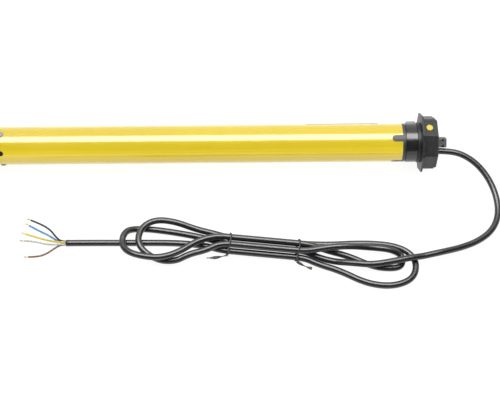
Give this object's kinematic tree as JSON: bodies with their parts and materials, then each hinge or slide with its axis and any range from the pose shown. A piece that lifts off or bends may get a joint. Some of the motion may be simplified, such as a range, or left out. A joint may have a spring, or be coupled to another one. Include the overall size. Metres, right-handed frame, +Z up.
{
  "type": "tubular roller blind motor",
  "caption": "Tubular roller blind motor: painted tube, black eight-sided head with square spigot, limit ring, drive adapter, and a tied supply cable with stripped cores.",
  "frame": {"origin": "on the surface that it lies on, under the middle of the motor's length", "axes": "+X along the motor towards its head, +Z up"},
  "size_m": [0.6231, 0.2131, 0.066],
  "materials": {
    "yellow_paint": "semi-gloss enamel",
    "black_plastic": "moulded satin",
    "cover_plastic": "moulded fine texture",
    "yellow_plastic": "moulded gloss",
    "white_plastic": "moulded satin",
    "grey_plastic": "moulded satin",
    "board_green": "solder mask",
    "label_film": "satin film",
    "cable_sheath": "satin sheath",
    "core_black": "insulation",
    "core_blue": "insulation",
    "core_green_yellow": "striped insulation",
    "core_white": "insulation",
    "core_brown": "insulation",
    "copper": "bare copper strands",
    "winding_copper": "enamelled copper wire",
    "zinc_steel": "zinc plated",
    "steel": "ground steel",
    "lamination_steel": "laminated stack",
    "die_cast": "die cast"
  },
  "bodies": {
    "motor_body": {"motor_tube": "yellow_paint", "tube_rivets": "zinc_steel", "locating_plugs": "black_plastic", "type_label": "label_film", "head_insert": "black_plastic", "head_housing": "black_plastic", "head_end_cover": "cover_plastic", "mounting_spigot": "black_plastic", "cable_grommet": "black_plastic", "neck_screws": "zinc_steel", "cover_screws": "zinc_steel", "setting_switch": "grey_plastic", "control_board": "board_green", "run_capacitor": "white_plastic", "capacitor_rings": "grey_plastic", "rear_end_shield": "die_cast", "front_end_shield": "die_cast", "rotor_bearings": "steel", "stator_core": "lamination_steel", "stator_windings": "winding_copper", "brake_coil_pot": "steel", "brake_coil": "winding_copper", "brake_spring": "zinc_steel", "friction_plate": "steel", "ring_gear": "steel", "gearbox_end_cap": "black_plastic", "output_bearings": "steel", "cable_lead": "cable_sheath", "cable_hank": "cable_sheath", "cable_tail": "cable_sheath", "wire_black": "core_black", "wire_blue": "core_blue", "wire_green_yellow": "core_green_yellow", "wire_white": "core_white", "wire_brown": "core_brown", "bare_conductors": "copper", "twist_ties": "core_black", "button_spring": "zinc_steel"},
    "limit_ring": {"running_ring": "black_plastic"},
    "limit_counter": {"counter_pinion": "white_plastic"},
    "button": {"setting_button": "yellow_plastic"},
    "rotor": {"rotor_core": "lamination_steel", "rotor_shaft": "steel", "brake_disc": "grey_plastic"},
    "armature": {"brake_armature": "steel"},
    "first_stage": {"first_carrier": "steel"},
    "second_stage": {"second_carrier": "steel"},
    "output": {"output_carrier": "steel", "drive_adapter": "black_plastic", "adapter_screw": "zinc_steel"},
    "first_planet_1": {"first_planet_1": "steel"},
    "first_planet_2": {"first_planet_2": "steel"},
    "first_planet_3": {"first_planet_3": "steel"},
    "second_planet_1": {"second_planet_1": "steel"},
    "second_planet_2": {"second_planet_2": "steel"},
    "second_planet_3": {"second_planet_3": "steel"},
    "output_planet_1": {"output_planet_1": "steel"},
    "output_planet_2": {"output_planet_2": "steel"},
    "output_planet_3": {"output_planet_3": "steel"}
  },
  "joints": [
    {"name": "rotor_spin", "type": "hinge", "parent": "motor_body", "child": "rotor", "pos_m": [0, 0, 0.033], "axis": [1, 0, 0], "continuous": true},
    {"name": "ring_spin", "type": "hinge", "parent": "motor_body", "child": "limit_ring", "pos_m": [0.23755, 0, 0.033], "axis": [1, 0, 0], "continuous": true},
    {"name": "counter_spin", "type": "hinge", "parent": "motor_body", "child": "limit_counter", "pos_m": [0.24255, -0.0123, 0.0453], "axis": [1, 0, 0], "continuous": true},
    {"name": "button_press", "type": "slide", "parent": "motor_body", "child": "button", "axis": [0, 0, -1], "range_m": [0, 0.0012], "stiffness_N_per_m": 400, "springref_m": -0.001, "deforming": ["button_spring"]},
    {"name": "brake_release", "type": "slide", "parent": "motor_body", "child": "armature", "axis": [1, 0, 0], "range_m": [0, 0.0004], "stiffness_N_per_m": 5000, "springref_m": -0.002},
    {"name": "first_stage_spin", "type": "hinge", "parent": "motor_body", "child": "first_stage", "pos_m": [0, 0, 0.033], "axis": [1, 0, 0], "continuous": true},
    {"name": "second_stage_spin", "type": "hinge", "parent": "motor_body", "child": "second_stage", "pos_m": [0, 0, 0.033], "axis": [1, 0, 0], "continuous": true},
    {"name": "output_spin", "type": "hinge", "parent": "motor_body", "child": "output", "pos_m": [0, 0, 0.033], "axis": [1, 0, 0], "continuous": true},
    {"name": "first_planet_1_spin", "type": "hinge", "parent": "first_stage", "child": "first_planet_1", "pos_m": [0, 0, 0.04372], "axis": [1, 0, 0], "continuous": true},
    {"name": "first_planet_2_spin", "type": "hinge", "parent": "first_stage", "child": "first_planet_2", "pos_m": [0, -0.00929, 0.02764], "axis": [1, 0, 0], "continuous": true},
    {"name": "first_planet_3_spin", "type": "hinge", "parent": "first_stage", "child": "first_planet_3", "pos_m": [0, 0.00929, 0.02764], "axis": [1, 0, 0], "continuous": true},
    {"name": "second_planet_1_spin", "type": "hinge", "parent": "second_stage", "child": "second_planet_1", "pos_m": [0, 0, 0.04372], "axis": [1, 0, 0], "continuous": true},
    {"name": "second_planet_2_spin", "type": "hinge", "parent": "second_stage", "child": "second_planet_2", "pos_m": [0, -0.00929, 0.02764], "axis": [1, 0, 0], "continuous": true},
    {"name": "second_planet_3_spin", "type": "hinge", "parent": "second_stage", "child": "second_planet_3", "pos_m": [0, 0.00929, 0.02764], "axis": [1, 0, 0], "continuous": true},
    {"name": "output_planet_1_spin", "type": "hinge", "parent": "output", "child": "output_planet_1", "pos_m": [0, 0, 0.04372], "axis": [1, 0, 0], "continuous": true},
    {"name": "output_planet_2_spin", "type": "hinge", "parent": "output", "child": "output_planet_2", "pos_m": [0, -0.00929, 0.02764], "axis": [1, 0, 0], "continuous": true},
    {"name": "output_planet_3_spin", "type": "hinge", "parent": "output", "child": "output_planet_3", "pos_m": [0, 0.00929, 0.02764], "axis": [1, 0, 0], "continuous": true}
  ],
  "couplings": [
    {"joint": "counter_spin", "follows": "ring_spin", "ratio": 5.8333},
    {"joint": "first_stage_spin", "follows": "rotor_spin", "ratio": 0.18182},
    {"joint": "second_stage_spin", "follows": "rotor_spin", "ratio": 0.033058},
    {"joint": "output_spin", "follows": "rotor_spin", "ratio": 0.0060105},
    {"joint": "first_planet_1_spin", "follows": "rotor_spin", "ratio": -0.46753},
    {"joint": "first_planet_2_spin", "follows": "rotor_spin", "ratio": -0.46753},
    {"joint": "first_planet_3_spin", "follows": "rotor_spin", "ratio": -0.46753},
    {"joint": "second_planet_1_spin", "follows": "rotor_spin", "ratio": -0.085006},
    {"joint": "second_planet_2_spin", "follows": "rotor_spin", "ratio": -0.085006},
    {"joint": "second_planet_3_spin", "follows": "rotor_spin", "ratio": -0.085006},
    {"joint": "output_planet_1_spin", "follows": "rotor_spin", "ratio": -0.015456},
    {"joint": "output_planet_2_spin", "follows": "rotor_spin", "ratio": -0.015456},
    {"joint": "output_planet_3_spin", "follows": "rotor_spin", "ratio": -0.015456}
  ]
}
